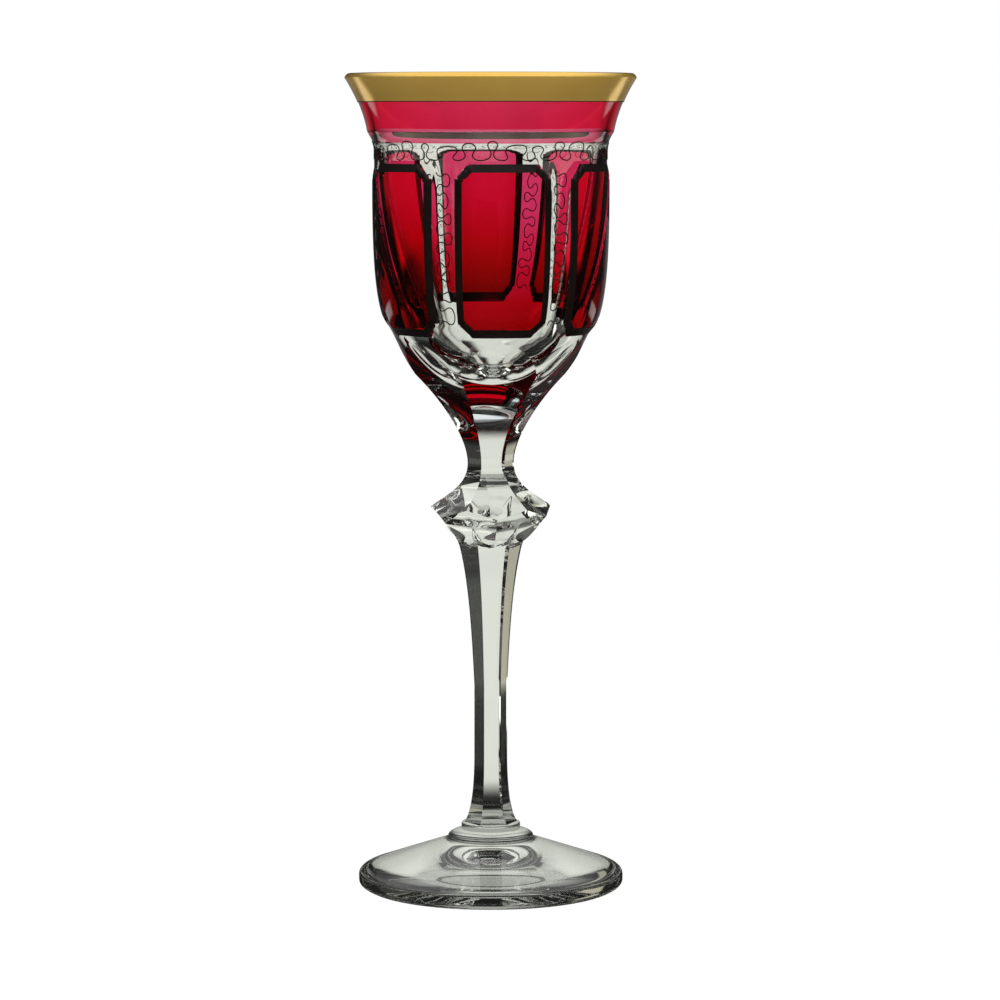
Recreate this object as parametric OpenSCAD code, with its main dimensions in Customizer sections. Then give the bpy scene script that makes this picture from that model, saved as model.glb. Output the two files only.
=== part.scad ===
// Stemmed wine glass in clear crystal with ruby casing cut to the clear and a gilt lip.
// Millimetres, +Z up, origin on the table under the middle of the foot, first panel facing -Y.

/* [Foot] */
// Diameter of the round foot
foot_d = 70.2; // [62:0.2:84]
// Height of the edge, up to where the sloping top begins
foot_edge_h = 5.4; // [4.6:0.1:7]
// Rounding of the lower edge
foot_low_round = 2.1; // [0.8:0.1:2.2]
// Rounding of the upper edge
foot_top_round = 2; // [1:0.1:2.2]
// Rise of the sloping top, from the edge to the boss
foot_slope_h = 6.4; // [4:0.1:9]
// Width of the ring that the foot stands on, round the hollow under it
ring_w = 2; // [1.2:0.1:6]
// Depth of the hollow
hollow_h = 5.6; // [0.8:0.1:7]
// Diameter of the boss in the middle of the foot
boss_d = 22.6; // [21:0.2:27]
// Height of the boss above the sloping top
boss_h = 3.7; // [3:0.1:5]
// Spread of the hollow curve between slope and boss
boss_fillet = 3.6; // [2:0.1:5]
// Diameter of the button that carries the stem
button_d = 15.6; // [15.2:0.1:17]
// Height of the button
button_h = 1.7; // [1:0.1:3]

/* [Stem] */
// Width of the shaft across its flats where it stands on the button
shaft_foot_w = 12.2; // [9:0.1:12.8]
// Height of the flare at the bottom of the shaft
shaft_foot_h = 18.8; // [14:0.1:24]
// Width of the shaft across its flats at its thinnest
shaft_waist_w = 7.6; // [6:0.1:8.6]
// Length of the thinnest part of the shaft
shaft_waist_h = 18; // [8:0.5:28]
// Height of the swelling from the thinnest part to the throat
shaft_swell_h = 37.2; // [28:0.1:46]
// Width across the flats at the throat, where the shaft turns out under the knop
throat_w = 14.4; // [12.4:0.1:15.4]
// Diameter of the knop across its points
knop_d = 31.8; // [28:0.1:35]
// Height from the throat to the knop's points
knop_low_h = 10.5; // [9.4:0.1:13]
// Drop of the zigzag girdle between a point and the next low corner
girdle_drop = 2.3; // [1.6:0.1:2.8]
// Height from the knop's points to the joint in the neck
neck_h = 11.3; // [9:0.1:14]
// Width of the neck across its flats
neck_w = 10.6; // [9:0.1:12]

/* [Bowl base] */
// Height of the thick base, from the joint in the neck to the panels' lower ends
base_h = 34.3; // [30:0.1:42]
// Height above the joint at which the hollow cut turns into a swelling
base_turn_h = 19; // [16:0.1:22]
// Width across the flats at that height
base_turn_w = 27.2; // [24:0.1:30]
// Swell of the base's rounded corners above that height
base_swell = 5.6; // [4.4:0.1:6.4]
// Lean of the rounded base at the panels' lower ends, as run over rise
base_lean = 0.5; // [0.35:0.05:0.6]
// Lean of the base's flat facets at that height, as run over rise
facet_lean = 0.8; // [0.7:0.05:0.95]
// Amount by which the facets' planes pass outside the rounded base at that height
facet_out = 0.55; // [0.3:0.05:1.2]

/* [Panels] */
// Diameter of the bowl over the panels' faces
panel_d = 62.2; // [60.6:0.1:66]
// Diameter over the panels' faces at their lower bevel
panel_low_d = 55; // [53.4:0.1:57]
// Lean of the panels' faces at their lower bevel, as run over rise
panel_low_lean = 0.55; // [0.3:0.05:0.7]
// Height of a panel
panel_h = 44.5; // [36:0.1:52]
// Angle that a panel takes up round the bowl
panel_angle = 48; // [40:0.1:52]
// Height of a panel above the clear ground between the panels
panel_relief = 0.6; // [0.4:0.1:1.6]
// Width of the bevel round a panel
panel_bevel = 2.1; // [1:0.1:2.6]
// Size of the cut corners of a panel
panel_corner = 3.8; // [2:0.1:6]
// Height of the upright part of the panels below their top
panel_upright_h = 7.5; // [4:0.1:12]

/* [Collar and lip] */
// Amount by which the collar above the panels lies inside the panels' faces
collar_inset = 0.6; // [0.3:0.1:1.1]
// Height of the upright collar above the panels' tops
collar_h = 2.8; // [2.2:0.1:6]
// Height of the slope from the ground up to the collar
collar_slope_h = 1.6; // [1:0.1:2]
// Height of the cove in which the collar runs out to the ruby band
cove_h = 5.4; // [3:0.1:8]
// Amount by which the ruby band's lower edge stands out from the collar
band_out = 1.8; // [1:0.1:3]
// Height of the ruby band
band_h = 7.8; // [5:0.1:11]
// Thickness of the ruby casing of the band
casing = 0.8; // [0.5:0.1:1.1]
// Height of the gilding on the outside, up to the top of the lip
gold_h = 7.2; // [4:0.1:10]
// Height of the gilding on the inside
gold_inside_h = 2.4; // [1.4:0.1:4]
// Thickness of the gilding
gold_thick = 0.2; // [0.1:0.05:0.3]
// Diameter of the glass at the lip
rim_d = 76; // [72:0.2:82]
// Lean of the flare where it leaves the cove, as run over rise
flare_lean = 0.18; // [0.1:0.01:0.24]
// Thickness of the lip
lip_wall = 2; // [1.4:0.1:2.4]

/* [Inside] */
// Thickness of the wall at the ruby band's lower edge
band_wall = 2.2; // [1.6:0.1:2.6]
// Thickness of the wall just under the collar
collar_wall = 2.4; // [1.8:0.1:3]
// Depth of the inside, from the lip to its lowest point
inside_depth = 76.4; // [68:0.2:80]
// Run of the inside wall below the collar before it turns in
inside_upright_h = 13; // [8:0.5:20]
// Lean of the inside wall below the collar, as run over rise
inside_lean = 0.125; // [0.08:0.005:0.16]
// Half width over which the inside is round at the bottom
inside_round = 21.5; // [16:0.1:23]

/* [Hidden] */

crystal_color = [0.86, 0.88, 0.85];
ruby_color = [0.62, 0.02, 0.09];
gold_color = [0.80, 0.58, 0.22];

// Sides of the stem and panels of the bowl
sides = 6;
side_step = 360 / sides;
// Ratio of a side's distance to a corner's distance
flat_ratio = cos(side_step / 2);
// Steps along a curve, and along the flare and the lip
curve_steps = 9;
lip_steps = 5;
// Number of sides that a round face is drawn with
$fn = 96;
// Room beyond a cut's edge, so that no cut ends on a face
over = 3;
// Least step between two levels of a panel's sides
level_step = 0.3;

// Heights, each from the one below it
slope_z = foot_edge_h + foot_slope_h;
boss_z = slope_z + boss_h;
stem_z = boss_z + button_h;
waist_z = stem_z + shaft_foot_h;
swell_z = waist_z + shaft_waist_h;
throat_z = swell_z + shaft_swell_h;
point_z = throat_z + knop_low_h;
joint_z = point_z + neck_h;
turn_z = joint_z + base_turn_h;
panel_z = joint_z + base_h;
panel_top_z = panel_z + panel_h;
collar_z = panel_top_z + collar_h;
band_z = collar_z + cove_h;
gold_z = band_z + band_h;
rim_z = gold_z + gold_h;
lip_z = rim_z - lip_wall / 2;
gold_inside_z = rim_z - gold_inside_h;
inside_z = rim_z - inside_depth;
bevel_z = panel_z + panel_bevel;
upright_z = panel_top_z - panel_upright_h;

// Radii and half widths
foot_r = foot_d / 2;
hollow_r = foot_r - foot_low_round - ring_w;
knop_r = knop_d / 2;
neck_flat = neck_w / 2;
panel_r = panel_d / 2;
panel_low_r = panel_low_d / 2;
collar_r = panel_r - collar_inset;
band_r = collar_r + band_out;
rim_r = rim_d / 2;
// Steepness of the girdle's facets
girdle_slope = girdle_drop / (knop_r * (1 - flat_ratio));

// Shares of a curve's run at which its guide points lie
close = 0.15;
near = 0.3;
half = 0.5;
far = 0.7;

// Point on a curve with two end points and two guide points
function curve_point(a, b, c, d, t) =
    a * pow(1 - t, 3) + 3 * b * t * pow(1 - t, 2) + 3 * c * t * t * (1 - t) + d * pow(t, 3);

// Points along such a curve, without its first one
function curve(a, b, c, d) =
    [for (i = [1 : curve_steps]) curve_point(a, b, c, d, i / curve_steps)];

function reversed(points) = [for (i = [len(points) - 1 : -1 : 0]) points[i]];

// Foot, as half a section from the middle of its hollow round to the top of the button
foot_shoulder = [boss_d / 2 + boss_fillet, slope_z];
foot_crest = [foot_r - foot_top_round, foot_edge_h];
crest_share = half * foot_top_round / (foot_crest[0] - foot_shoulder[0]);
foot_outline = concat(
    [[0, hollow_h]],
    curve([0, hollow_h], [hollow_r * half, hollow_h], [hollow_r * far, hollow_h * near], [hollow_r, 0]),
    [[foot_r - foot_low_round, 0]],
    curve([foot_r - foot_low_round, 0], [foot_r - foot_low_round * near, foot_low_round * near],
          [foot_r, foot_low_round * half], [foot_r, foot_low_round]),
    [[foot_r, foot_edge_h - foot_top_round]],
    curve([foot_r, foot_edge_h - foot_top_round], [foot_r, foot_edge_h - foot_top_round * half],
          foot_crest + (foot_crest - foot_shoulder) * crest_share, foot_crest),
    [foot_shoulder],
    curve(foot_shoulder, foot_shoulder + [-boss_fillet * half, boss_h * close],
          [boss_d / 2, slope_z + boss_h * near], [boss_d / 2, slope_z + boss_h * half]),
    curve([boss_d / 2, slope_z + boss_h * half], [boss_d / 2, slope_z + boss_h * far],
          [button_d / 2 + button_h, boss_z - boss_h * near * near], [button_d / 2, boss_z]),
    [[button_d / 2, stem_z]],
    [[0, stem_z]]
);

// Shaft, as the half width across its flats against height
shaft_foot_flat = shaft_foot_w / 2;
waist_flat = shaft_waist_w / 2;
throat_flat = throat_w / 2;
foot_spread = shaft_foot_flat - waist_flat;
swell_spread = throat_flat - waist_flat;
throat_top = [knop_r * flat_ratio * far + over * near, throat_z + knop_low_h * half];
throat_spread = throat_top[0] - throat_flat;
shaft_outline = concat(
    [[shaft_foot_flat, stem_z]],
    curve([shaft_foot_flat, stem_z], [waist_flat + foot_spread * near, stem_z + shaft_foot_h * close],
          [waist_flat, stem_z + shaft_foot_h * half], [waist_flat, waist_z]),
    [[waist_flat, swell_z]],
    curve([waist_flat, swell_z], [waist_flat + swell_spread * close, swell_z + shaft_swell_h * near],
          [waist_flat + swell_spread * near, swell_z + shaft_swell_h * far], [throat_flat, throat_z]),
    curve([throat_flat, throat_z], [throat_flat + throat_spread * close, throat_z + knop_low_h * close],
          [throat_flat + throat_spread * near, throat_z + knop_low_h * near], throat_top)
);

// Knop from above: the flats of the neck run out in a hollow curve to the girdle
knop_inner = knop_r * flat_ratio;
knop_top_outline = concat(
    [[knop_r + over, throat_z]],
    [[knop_r + over, point_z - girdle_drop - over * girdle_slope]],
    [[knop_inner, point_z]],
    curve([knop_inner, point_z], [knop_inner - (knop_inner - neck_flat) * half, point_z + neck_h * near],
          [neck_flat, point_z + neck_h * half], [neck_flat, joint_z])
);

// Knop from below: facets turned half a step, rounding in to the throat
knop_under_flat = throat_flat * flat_ratio;
under_drop = girdle_drop * 2;
knop_under_outline = concat(
    [[knop_under_flat, throat_z]],
    curve([knop_under_flat, throat_z + over * close], [knop_inner * far, throat_z + knop_low_h * close],
          [knop_inner - (under_drop - girdle_drop) / girdle_slope, point_z - under_drop],
          [knop_inner, point_z - girdle_drop]),
    [[knop_r + over, point_z + over * girdle_slope]],
    [[knop_r + over, joint_z]]
);

// Faces of the panels from their lower bevel to their upper one, as radius against height
face_guide_h = (upright_z - bevel_z) * close;
panel_face = concat(
    [[panel_low_r, bevel_z]],
    curve([panel_low_r, bevel_z], [panel_low_r + face_guide_h * panel_low_lean, bevel_z + face_guide_h],
          [panel_r, bevel_z + (upright_z - bevel_z) * half], [panel_r, upright_z]),
    [[panel_r, panel_top_z - panel_bevel]]
);
// Clear ground on which the panels lie
ground_r = panel_r - panel_relief;
ground = concat(
    [[panel_low_r - panel_relief - panel_bevel * panel_low_lean, panel_z]],
    [for (p = panel_face) p - [panel_relief, 0]],
    [[ground_r, panel_top_z]]
);

// Rounded base of the bowl, as radius against height, up to the ground
turn_flat = base_turn_w / 2;
body_start = [turn_flat / flat_ratio + level_step, turn_z];
body_guide_h = (panel_z - turn_z) * near;
rounded_base = curve(body_start, body_start + [base_swell, base_swell],
                     ground[0] - [body_guide_h * base_lean, body_guide_h], ground[0]);

// Flat facets of the base, as the half width across them against height
base_turn = [turn_flat, turn_z];
turn_guide = [(turn_flat - neck_flat) * half, base_turn_h * near];
facet_top = ground[0] + [facet_out, 0];
facet_end = rim_r + over;
base_outline = concat(
    [[neck_flat, joint_z]],
    curve([neck_flat, joint_z], [neck_flat, joint_z + base_turn_h * near],
          base_turn - turn_guide, base_turn),
    curve(base_turn, base_turn + turn_guide * far,
          facet_top - [body_guide_h * facet_lean, body_guide_h], facet_top),
    [[facet_end, panel_z + (facet_end - facet_top[0]) / facet_lean]],
    [[facet_end, rim_z + over]]
);

// Radius of the flare at a height
flare_h = lip_z - band_z;
flare_sweep = (rim_r - band_r - flare_lean * flare_h) / (flare_h * flare_h);
function flare_r(z) = band_r + flare_lean * (z - band_z) + flare_sweep * (z - band_z) * (z - band_z);

// Flare between two heights, moved in or out, upward without its first point
function flare(z0, z1, shift) =
    [for (i = [1 : lip_steps]) let (z = z0 + (z1 - z0) * i / lip_steps) [flare_r(z) + shift, z]];

// Round top of the lip, from outside to inside without its ends, grown by a thickness
function lip(grow) =
    [for (i = [1 : lip_steps - 1]) let (a = 180 * i / lip_steps)
        [rim_r - lip_wall / 2 + (lip_wall / 2 + grow) * cos(a), lip_z + (lip_wall / 2 + grow) * sin(a)]];

// Inside of the bowl, downward from the lip: gilt edge, flare, wall under the collar, round bottom
gilt_edge = [flare_r(gold_inside_z) - lip_wall, gold_inside_z];
inside_gilt = reversed(concat([gilt_edge], flare(gold_inside_z, lip_z, -lip_wall)));
inside_flare = [for (i = [1 : lip_steps])
    let (share = i / lip_steps, z = gold_inside_z + (band_z - gold_inside_z) * share)
    [flare_r(z) - lip_wall - (band_wall - lip_wall) * share, z]];
flare_foot = [band_r - band_wall, band_z];
inside_top = [collar_r - collar_wall, collar_z - cove_h];
inside_guide_h = (band_z - inside_top[1]) * near;
inside_outline = concat(
    inside_gilt,
    inside_flare,
    curve(flare_foot, flare_foot - [inside_guide_h * flare_lean, inside_guide_h],
          inside_top + [inside_guide_h * inside_lean, inside_guide_h], inside_top),
    curve(inside_top, inside_top - [inside_upright_h * inside_lean, inside_upright_h],
          [inside_round, inside_z], [0, inside_z])
);

// Outside of the bowl, upward from the joint: base, ground, collar, cove, seat of the ruby band, flare
bowl_outline = concat(
    [[0, joint_z]],
    [[body_start[0], joint_z]],
    [body_start],
    rounded_base,
    [for (i = [1 : len(ground) - 1]) ground[i]],
    [[collar_r, panel_top_z + collar_slope_h]],
    [[collar_r, collar_z]],
    curve([collar_r, collar_z], [collar_r, collar_z + cove_h * half],
          [collar_r + band_out * half, band_z - cove_h * near], [band_r, band_z]),
    [[band_r - casing, band_z]],
    flare(band_z, gold_z, -casing),
    [[flare_r(gold_z), gold_z]],
    flare(gold_z, lip_z, 0),
    lip(0),
    inside_outline
);

// Bar along a side of the stem, with the same outline on both of its faces
module side_bar(outline, turn) {
    rotate([90, 0, turn])
        linear_extrude(height = 2 * (rim_r + over), center = true)
            polygon(concat(outline, [for (p = reversed(outline)) [-p[0], p[1]]]));
}

// Six-sided solid left where three bars cross
module six_sided(outline, turn) {
    intersection() {
        side_bar(outline, turn);
        side_bar(outline, turn + side_step);
        side_bar(outline, turn + 2 * side_step);
    }
}

module foot() {
    color(crystal_color)
        rotate_extrude()
            polygon(foot_outline);
}

module stem() {
    color(crystal_color)
        union() {
            six_sided(shaft_outline, side_step / 2);
            intersection() {
                six_sided(knop_top_outline, side_step / 2);
                six_sided(knop_under_outline, 0);
            }
        }
}

module bowl() {
    color(crystal_color)
        intersection() {
            rotate_extrude()
                polygon(bowl_outline);
            six_sided(base_outline, side_step / 2);
        }
}

module ruby_rim_band() {
    color(ruby_color)
        rotate_extrude()
            polygon(concat([[band_r - casing, band_z]], [[band_r, band_z]], flare(band_z, gold_z, 0),
                           reversed(flare(band_z, gold_z, -casing))));
}

// Heights of the corners' cuts at the ground and at the bevelled face
face_corner = panel_corner + panel_bevel * (sqrt(2) - 1);
corner_low_z = panel_z + face_corner + level_step;
corner_high_z = panel_top_z - face_corner - level_step;
panel_levels = concat(
    [panel_z - level_step, panel_z + panel_corner, panel_z + face_corner],
    [for (p = panel_face) if (p[1] > corner_low_z && p[1] < corner_high_z) p[1]],
    [panel_top_z - face_corner, panel_top_z - panel_corner, panel_top_z + level_step]
);
ground_by_height = [for (p = ground) [p[1], p[0]]];
half_angle = panel_angle / 2 * PI / 180;

// Amount by which a cut corner narrows a panel at a height
function corner_cut(corner, z) = max(0, corner - (z - panel_z), corner - (panel_top_z - z));

// Point on the circle of a radius, at a length along it from the panel's middle
function on_arc(r, run) = r * [sin(run / r * 180 / PI), -cos(run / r * 180 / PI)];

// Outline in plan of the block that a panel is cut by, at a height: its sides run along the bevel
function panel_section(z) =
    let (r = lookup(z, ground_by_height),
         run = r * half_angle,
         foot_edge = on_arc(r, run - corner_cut(panel_corner, z)),
         face_edge = on_arc(r + panel_relief, run - panel_bevel - corner_cut(face_corner, z)),
         inner = 2 * foot_edge - face_edge,
         outer = 2 * face_edge - foot_edge)
    [[-inner[0], inner[1], z], [inner[0], inner[1], z], [outer[0], outer[1], z],
     [0, -r - panel_relief - over, z], [-outer[0], outer[1], z]];

// Block through all the sections
module panel_block() {
    sections = [for (z = panel_levels) panel_section(z)];
    count = len(sections[0]);
    last = (len(sections) - 1) * count;
    polyhedron(
        points = [for (section = sections) for (p = section) p],
        faces = concat(
            [[for (j = [count - 1 : -1 : 0]) j]],
            [for (i = [0 : len(sections) - 2]) for (j = [0 : count - 1])
                let (k = (j + 1) % count)
                each [[i * count + j, i * count + k, (i + 1) * count + k],
                      [i * count + j, (i + 1) * count + k, (i + 1) * count + j]]],
            [[for (j = [0 : count - 1]) last + j]]
        )
    );
}

module ruby_panel(index) {
    color(ruby_color)
        rotate([0, 0, (index - 1) * side_step])
            intersection() {
                rotate_extrude()
                    polygon(concat(ground, reversed(panel_face)));
                panel_block();
            }
}

module gold_rim_band() {
    color(gold_color)
        rotate_extrude()
            polygon(concat([[flare_r(gold_z), gold_z]], [[flare_r(gold_z) + gold_thick, gold_z]],
                           flare(gold_z, lip_z, gold_thick), lip(gold_thick),
                           [for (p = inside_gilt) p - [gold_thick, 0]], reversed(inside_gilt),
                           reversed(lip(0)), reversed(flare(gold_z, lip_z, 0))));
}

foot();
stem();
bowl();
ruby_rim_band();
ruby_panel(1);  // ruby_panel_1
ruby_panel(2);  // ruby_panel_2
ruby_panel(3);  // ruby_panel_3
ruby_panel(4);  // ruby_panel_4
ruby_panel(5);  // ruby_panel_5
ruby_panel(6);  // ruby_panel_6
gold_rim_band();
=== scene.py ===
import bpy, bmesh, math
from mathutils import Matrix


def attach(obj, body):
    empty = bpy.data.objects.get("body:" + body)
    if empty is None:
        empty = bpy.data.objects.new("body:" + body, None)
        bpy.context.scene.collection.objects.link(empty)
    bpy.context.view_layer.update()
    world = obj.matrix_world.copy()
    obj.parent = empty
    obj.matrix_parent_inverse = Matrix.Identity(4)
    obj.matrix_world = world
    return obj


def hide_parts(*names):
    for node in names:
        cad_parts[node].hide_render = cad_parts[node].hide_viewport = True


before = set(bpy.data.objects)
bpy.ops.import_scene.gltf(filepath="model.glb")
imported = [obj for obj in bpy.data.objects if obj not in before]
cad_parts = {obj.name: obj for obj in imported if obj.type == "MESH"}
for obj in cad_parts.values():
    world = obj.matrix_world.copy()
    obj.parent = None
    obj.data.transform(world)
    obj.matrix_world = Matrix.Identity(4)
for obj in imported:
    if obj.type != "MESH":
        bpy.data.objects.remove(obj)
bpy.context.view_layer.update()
scene = bpy.context.scene
mm = 0.001
hair = 0.01  # millimetres within which two heights count as one
margin = 0.05  # millimetres by which a face is told from its neighbours
slight, near, midway, most = 0.15, 0.3, 0.5, 0.7  # how far along a curve its guide points lie
flatShare = math.cos(math.radians(30))  # flat of a six-sided section as a share of its corner
print("frame loaded:", len(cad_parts), "nodes")


def bend(a, b, c, d, steps):  # points along a curve with two guide points, without its first one
    points = []
    for i in range(1, steps + 1):
        t = i / steps
        shares = ((1 - t) ** 3, 3 * t * (1 - t) ** 2, 3 * t * t * (1 - t), t ** 3)
        points.append(tuple(sum(k * p[n] for k, p in zip(shares, (a, b, c, d))) for n in (0, 1)))
    return points


def straight(a, b, steps):  # points along a straight line, without its first one
    return [tuple(p + (q - p) * i / steps for p, q in zip(a, b)) for i in range(1, steps + 1)]


def between(points, z):  # first value of a list of (value, height), at a height
    for (r0, z0), (r1, z1) in zip(points, points[1:]):
        if min(z0, z1) <= z <= max(z0, z1) and z0 != z1:
            return r0 + (r1 - r0) * (z - z0) / (z1 - z0)
    return points[0][0] if abs(z - points[0][1]) < abs(z - points[-1][1]) else points[-1][0]


def sixSided(flat, turn, cornerFront=False):  # radius of a six-sided section in one direction
    off = (math.degrees(turn) + 90 + (0 if cornerFront else 30)) % 60 - 30
    return flat / math.cos(math.radians(off))


def searchHeight(low, high, test):  # height up to which a test holds, by halving
    for i in range(40):
        z = (low + high) / 2
        low, high = (z, high) if test(z) else (low, z)
    return low


def selectOnly(piece):
    bpy.ops.object.select_all(action="DESELECT")
    piece.select_set(True)
    bpy.context.view_layer.objects.active = piece


def nameNew(name):  # the piece just added
    piece = bpy.context.object
    piece.name = piece.data.name = name
    return piece


def startRing(name, columns, place):  # a ring of points, left selected in edit mode
    bpy.ops.object.select_all(action="DESELECT")
    bpy.ops.mesh.primitive_circle_add(vertices=columns, radius=0.02, location=(0, 0, 0))
    piece = nameNew(name)
    bpy.ops.object.mode_set(mode="EDIT")
    bpy.ops.mesh.select_mode(type="VERT")
    bpy.ops.mesh.select_all(action="SELECT")
    placeRing(piece, place)
    return piece


def placeRing(piece, place):  # moves the selected ring to the radius and height of each direction
    mesh = bmesh.from_edit_mesh(piece.data)
    for v in mesh.verts:
        if v.select:
            turn = math.atan2(v.co.y, v.co.x)
            r, z = place(turn)
            v.co = (r * mm * math.cos(turn), r * mm * math.sin(turn), z * mm)
    bmesh.update_edit_mesh(piece.data)


def growRing(piece, place):  # extrudes the selected ring to its next place
    bpy.ops.mesh.extrude_edges_move()
    placeRing(piece, place)


def growRound(piece, points):
    for r, z in points:
        growRing(piece, lambda turn: (r, z))


def growSix(piece, points):
    for flat, z in points:
        growRing(piece, lambda turn: (sixSided(flat, turn), z))


def growBetween(piece, low, high, radius, rings, plain=False):  # rings from one wavy edge to the next
    for i in rings:
        def place(turn):
            z = low(turn) + (high(turn) - low(turn)) * i / rings[-1]
            return radius(z, turn), z
        growRing(piece, place)
        if plain:  # an extruded edge would keep its sharp mark
            bpy.ops.mesh.mark_sharp(clear=True)


def capRing(piece, z):  # fills the open ring at a height
    bpy.ops.mesh.select_all(action="DESELECT")
    mesh = bmesh.from_edit_mesh(piece.data)
    for e in mesh.edges:
        if e.is_boundary and all(abs(v.co.z - z * mm) < 1e-6 for v in e.verts):
            e.select = True
    mesh.select_flush(True)
    bpy.ops.mesh.edge_face_add()


def joinEnds():  # closes a ring that was grown back to its start
    bpy.ops.mesh.select_all(action="SELECT")
    bpy.ops.mesh.remove_doubles(threshold=1e-6)


def endEdit(piece, smoothAngle):
    bpy.ops.mesh.select_all(action="SELECT")
    bpy.ops.mesh.normals_make_consistent(inside=False)
    bpy.ops.object.mode_set(mode="OBJECT")
    bpy.ops.object.shade_smooth_by_angle(angle=math.radians(smoothAngle), keep_sharp_edges=True)


def dress(piece, materials, nodes):
    for m in materials:
        piece.data.materials.append(m)
    if nodes:
        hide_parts(*nodes)
    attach(piece, "root")
    print(piece.name, len(piece.data.polygons), "faces")


def markFaces(piece, test):  # faces of the clear glass that are fused to another piece
    count = 0
    for face in piece.data.polygons:
        if test(face.center):
            face.material_index = 1
            count += 1
    print(piece.name, count, "fused faces")


def fuseFaces(piece, test):  # faces of the ruby glass that are fused to the bowl
    mark = piece.data.attributes.new("fused", "FLOAT", "FACE")
    for face in piece.data.polygons:
        mark.data[face.index].value = 1.0 if test(face.center) else 0.0


def node(tree, kind, **values):  # a new shader node with its settings and sockets
    n = tree.nodes.new(kind)
    for key, value in values.items():
        if hasattr(n, key):
            setattr(n, key, value)
        else:
            n.inputs[key].default_value = value
    return n


def setInputs(n, values):
    for name, value in values.items():
        n.inputs[name].default_value = value


def blend(tree, share, a, b):
    n = node(tree, "ShaderNodeMixShader")
    for socket, value in zip(n.inputs, (share, a, b)):
        tree.links.new(value, socket)
    return n.outputs[0]


def newMaterial(name):
    m = bpy.data.materials.new(name)
    m.use_nodes = True
    return m, m.node_tree, m.node_tree.nodes["Principled BSDF"]


# Materials
glassLook = {"Transmission Weight": 1, "Roughness": 0, "IOR": 1.54}
crystalLook = {"scale": 60.0, "detail": 2.0, "tints": ((0.955, 0.962, 0.945, 1), (0.985, 0.99, 0.98, 1))}
# painted shade: the ruby's base colour is set by height, darkest at the bottom of the panels
rubyLook = {"low": 0.147, "high": 0.192, "band": (2400.0, (0.945, 0.06, 0.33, 1)),
            "panel": (4800.0, (0.957, 0.06, 0.43, 1)),
            "shadeDepths": ((0.0, 1.1, 7.5, 5.5), (0.09, 0.82, 6.5, 4.8), (0.22, 0.5, 4.4, 3.3),
                       (0.4, 0.26, 2.6, 1.7), (0.58, 0.1, 1.1, 0.6), (0.74, 0.03, 0.4, 0.1),
                       (1.0, 0.0, 0.2, 0.0))}  # height, then what red, green and blue lose
# painted highlight: the gilding's colour is dimmed at the low height and full at the lip
goldLook = {"scale": 90.0, "detail": 4.0, "tints": ((0.88, 0.53, 0.10, 1), (1.0, 0.66, 0.16, 1)),
            "low": 0.2095, "high": 0.2145, "lowShadeShare": 0.80, "metallic": 0.65, "roughness": 0.16}
# painted shade: the lines' colour is nearly black
lineLook = {"scale": 400.0, "detail": 3.0, "tints": ((0.004, 0.002, 0.002, 1), (0.014, 0.009, 0.006, 1)),
            "metallic": 0.3, "roughness": 0.4}


def cloudTint(tree, look):  # a colour that wanders softly between two tints
    coords = node(tree, "ShaderNodeTexCoord")
    cloud = node(tree, "ShaderNodeTexNoise", Scale=look["scale"], Detail=look["detail"])
    tints = node(tree, "ShaderNodeValToRGB")
    for stop, colour in zip(tints.color_ramp.elements, look["tints"]):
        stop.color = colour
    tree.links.new(coords.outputs["Object"], cloud.inputs["Vector"])
    tree.links.new(cloud.outputs["Fac"], tints.inputs["Fac"])
    return tints.outputs["Color"]


def heightShare(tree, look, start):  # from start at the low height to 1 at the high one
    coords = node(tree, "ShaderNodeTexCoord")
    axes = node(tree, "ShaderNodeSeparateXYZ")
    share = node(tree, "ShaderNodeMapRange")
    setInputs(share, {"From Min": look["low"], "From Max": look["high"], "To Min": start, "To Max": 1.0})
    tree.links.new(coords.outputs["Object"], axes.inputs[0])
    tree.links.new(axes.outputs["Z"], share.inputs["Value"])
    return share.outputs[0]


def makeCrystal(look):
    m, tree, glass = newMaterial("clearCrystal")
    tree.links.new(cloudTint(tree, look), glass.inputs["Base Color"])
    setInputs(glass, glassLook)
    return m


def makeFused():  # a face where two pieces of glass are one
    m, tree, glass = newMaterial("fusedGlass")
    setInputs(glass, {"Alpha": 0})
    return m


def makeRuby(name, density, colour):
    m, tree, glass = newMaterial(name)
    tints = node(tree, "ShaderNodeValToRGB")  # painted shade: the base colour darkens the ruby toward the bottom of the panels; above them it only tints
    ramp = tints.color_ramp.elements
    for place, *shadeDepths in rubyLook["shadeDepths"]:
        stop = ramp[0] if place == 0 else ramp[-1] if place == 1 else ramp.new(place)
        stop.color = [math.exp(-2 * depth) for depth in shadeDepths] + [1]
    tree.links.new(heightShare(tree, rubyLook, 0.0), tints.inputs["Fac"])
    tree.links.new(tints.outputs["Color"], glass.inputs["Base Color"])
    setInputs(glass, glassLook)
    mark = node(tree, "ShaderNodeAttribute", attribute_name="fused")
    clear = node(tree, "ShaderNodeBsdfTransparent")
    depth = node(tree, "ShaderNodeVolumeAbsorption", Color=colour, Density=density)
    out = tree.nodes["Material Output"]
    surface = blend(tree, mark.outputs["Fac"], glass.outputs[0], clear.outputs[0])
    tree.links.new(surface, out.inputs["Surface"])
    tree.links.new(depth.outputs[0], out.inputs["Volume"])
    return m


def makeGold(look):
    m, tree, metal = newMaterial("goldWithPaintedHighlight")
    shade = node(tree, "ShaderNodeVectorMath", operation="SCALE")  # painted highlight: brighter toward the lip, darker lower down
    tree.links.new(cloudTint(tree, look), shade.inputs[0])
    tree.links.new(heightShare(tree, look, look["lowShadeShare"]), shade.inputs["Scale"])
    tree.links.new(shade.outputs[0], metal.inputs["Base Color"])
    setInputs(metal, {"Metallic": look["metallic"], "Roughness": look["roughness"]})
    return m


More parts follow.
